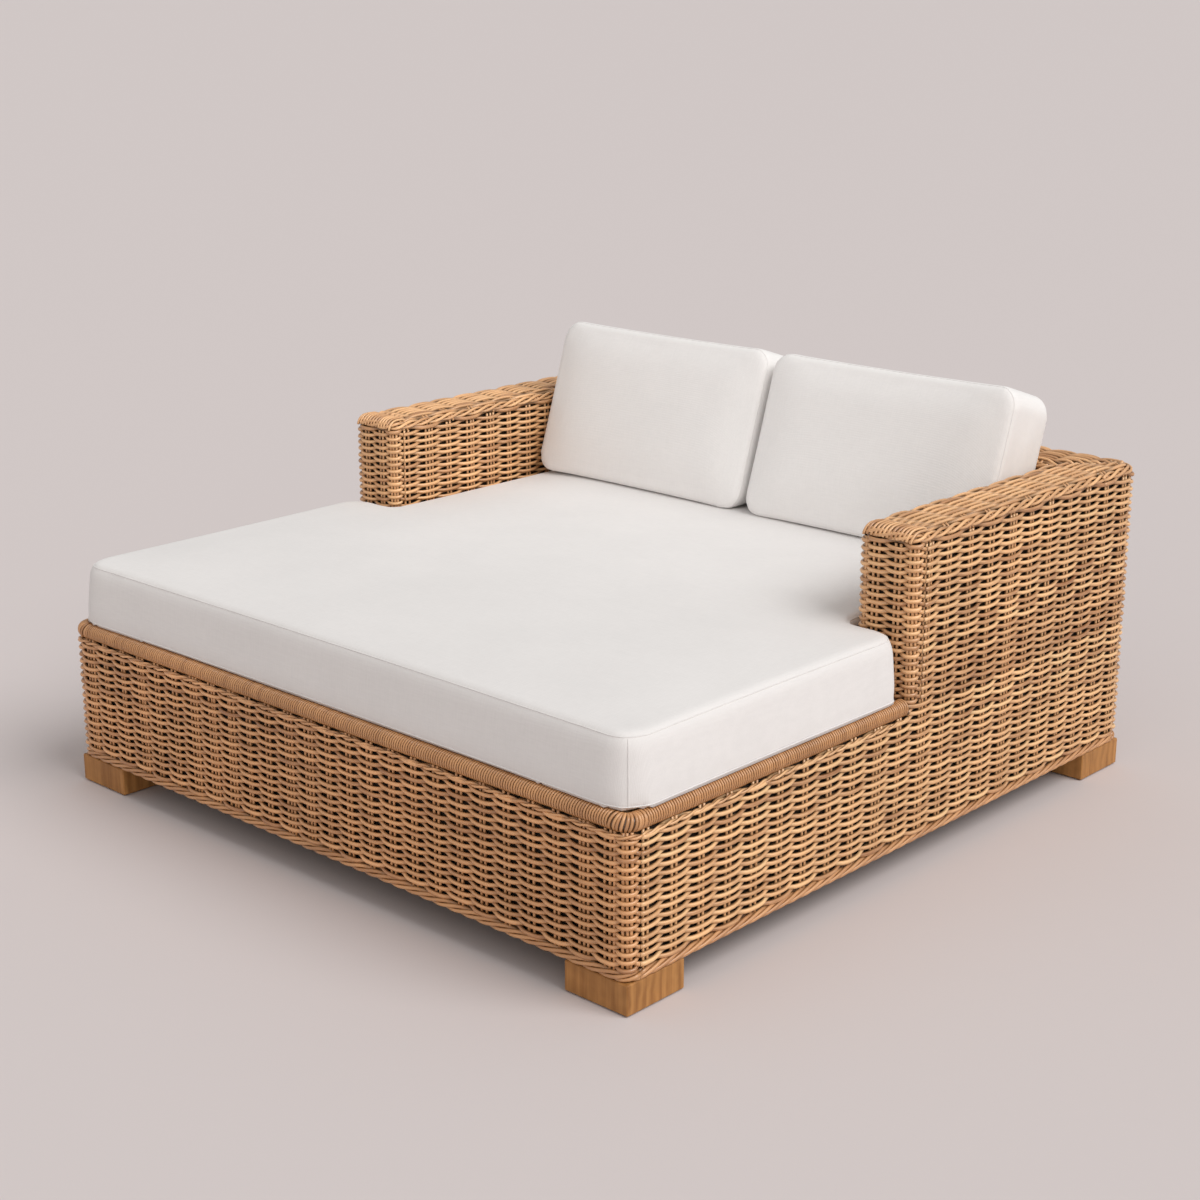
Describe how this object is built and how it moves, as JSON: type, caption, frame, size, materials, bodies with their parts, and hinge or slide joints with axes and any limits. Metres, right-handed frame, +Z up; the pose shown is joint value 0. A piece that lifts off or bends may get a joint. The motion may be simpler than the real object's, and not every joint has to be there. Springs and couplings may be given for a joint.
{
  "type": "outdoor rattan daybed",
  "caption": "Deep woven rattan daybed with low arms and back, block feet, a T-shaped seat cushion and two loose back cushions.",
  "frame": {"origin": "on the floor under the middle of the footprint", "axes": "+Z up, the open front faces -Y, and the sitter's left is +X"},
  "size_m": [1.6, 1.62, 0.8617],
  "materials": {
    "rattan_weave": "satin",
    "rattan_binding": "satin",
    "rattan_pole": "satin",
    "deck_timber": "matte",
    "oak": "satin",
    "zinc_plate": "satin",
    "glide_plastic": "matte",
    "cushion_cloth": "matte",
    "foam": "matte"
  },
  "bodies": {
    "frame": {"front_lower_rail": "rattan_pole", "rear_lower_rail": "rattan_pole", "left_lower_rail": "rattan_pole", "right_lower_rail": "rattan_pole", "front_seat_rail": "rattan_pole", "rear_seat_rail": "rattan_pole", "left_seat_rail": "rattan_pole", "right_seat_rail": "rattan_pole", "left_front_corner_post": "rattan_pole", "right_front_corner_post": "rattan_pole", "left_rear_corner_post": "rattan_pole", "right_rear_corner_post": "rattan_pole", "left_arm_outer_post": "rattan_pole", "right_arm_outer_post": "rattan_pole", "left_arm_inner_post": "rattan_pole", "right_arm_inner_post": "rattan_pole", "left_back_inner_post": "rattan_pole", "right_back_inner_post": "rattan_pole", "left_arm_outer_rail": "rattan_pole", "right_arm_outer_rail": "rattan_pole", "left_arm_inner_rail": "rattan_pole", "right_arm_inner_rail": "rattan_pole", "rear_top_rail": "rattan_pole", "back_inner_rail": "rattan_pole", "left_bearer": "deck_timber", "centre_bearer": "deck_timber", "right_bearer": "deck_timber", "deck_slats": "deck_timber", "front_left_leg": "oak", "front_right_leg": "oak", "rear_left_leg": "oak", "rear_right_leg": "oak", "leg_plates": "zinc_plate", "leg_screws": "zinc_plate", "leg_glides": "glide_plastic", "front_skin": "rattan_weave", "rear_skin": "rattan_weave", "left_side_skin": "rattan_weave", "right_side_skin": "rattan_weave", "left_arm_front_skin": "rattan_weave", "right_arm_front_skin": "rattan_weave", "left_arm_inner_skin": "rattan_weave", "right_arm_inner_skin": "rattan_weave", "back_inner_skin": "rattan_weave", "left_arm_top_skin": "rattan_weave", "right_arm_top_skin": "rattan_weave", "back_top_skin": "rattan_weave", "front_rim_roll": "rattan_binding", "left_rim_roll": "rattan_binding", "right_rim_roll": "rattan_binding", "front_border": "rattan_binding", "rear_border": "rattan_binding", "left_side_border": "rattan_binding", "right_side_border": "rattan_binding"},
    "seat_cushion": {"seat_cushion_cover": "cushion_cloth", "seat_cushion_core": "foam"},
    "left_back_cushion": {"left_back_cushion_cover": "cushion_cloth", "left_back_cushion_core": "foam"},
    "right_back_cushion": {"right_back_cushion_cover": "cushion_cloth", "right_back_cushion_core": "foam"}
  },
  "joints": [
    {"name": "seat_cushion_lift", "type": "slide", "parent": "frame", "child": "seat_cushion", "axis": [0, 0, 1], "range_m": [0, 0.35]},
    {"name": "left_back_cushion_lift", "type": "slide", "parent": "seat_cushion", "child": "left_back_cushion", "axis": [0, 0, 1], "range_m": [0, 0.35]},
    {"name": "right_back_cushion_lift", "type": "slide", "parent": "seat_cushion", "child": "right_back_cushion", "axis": [0, 0, 1], "range_m": [0, 0.35]}
  ]
}
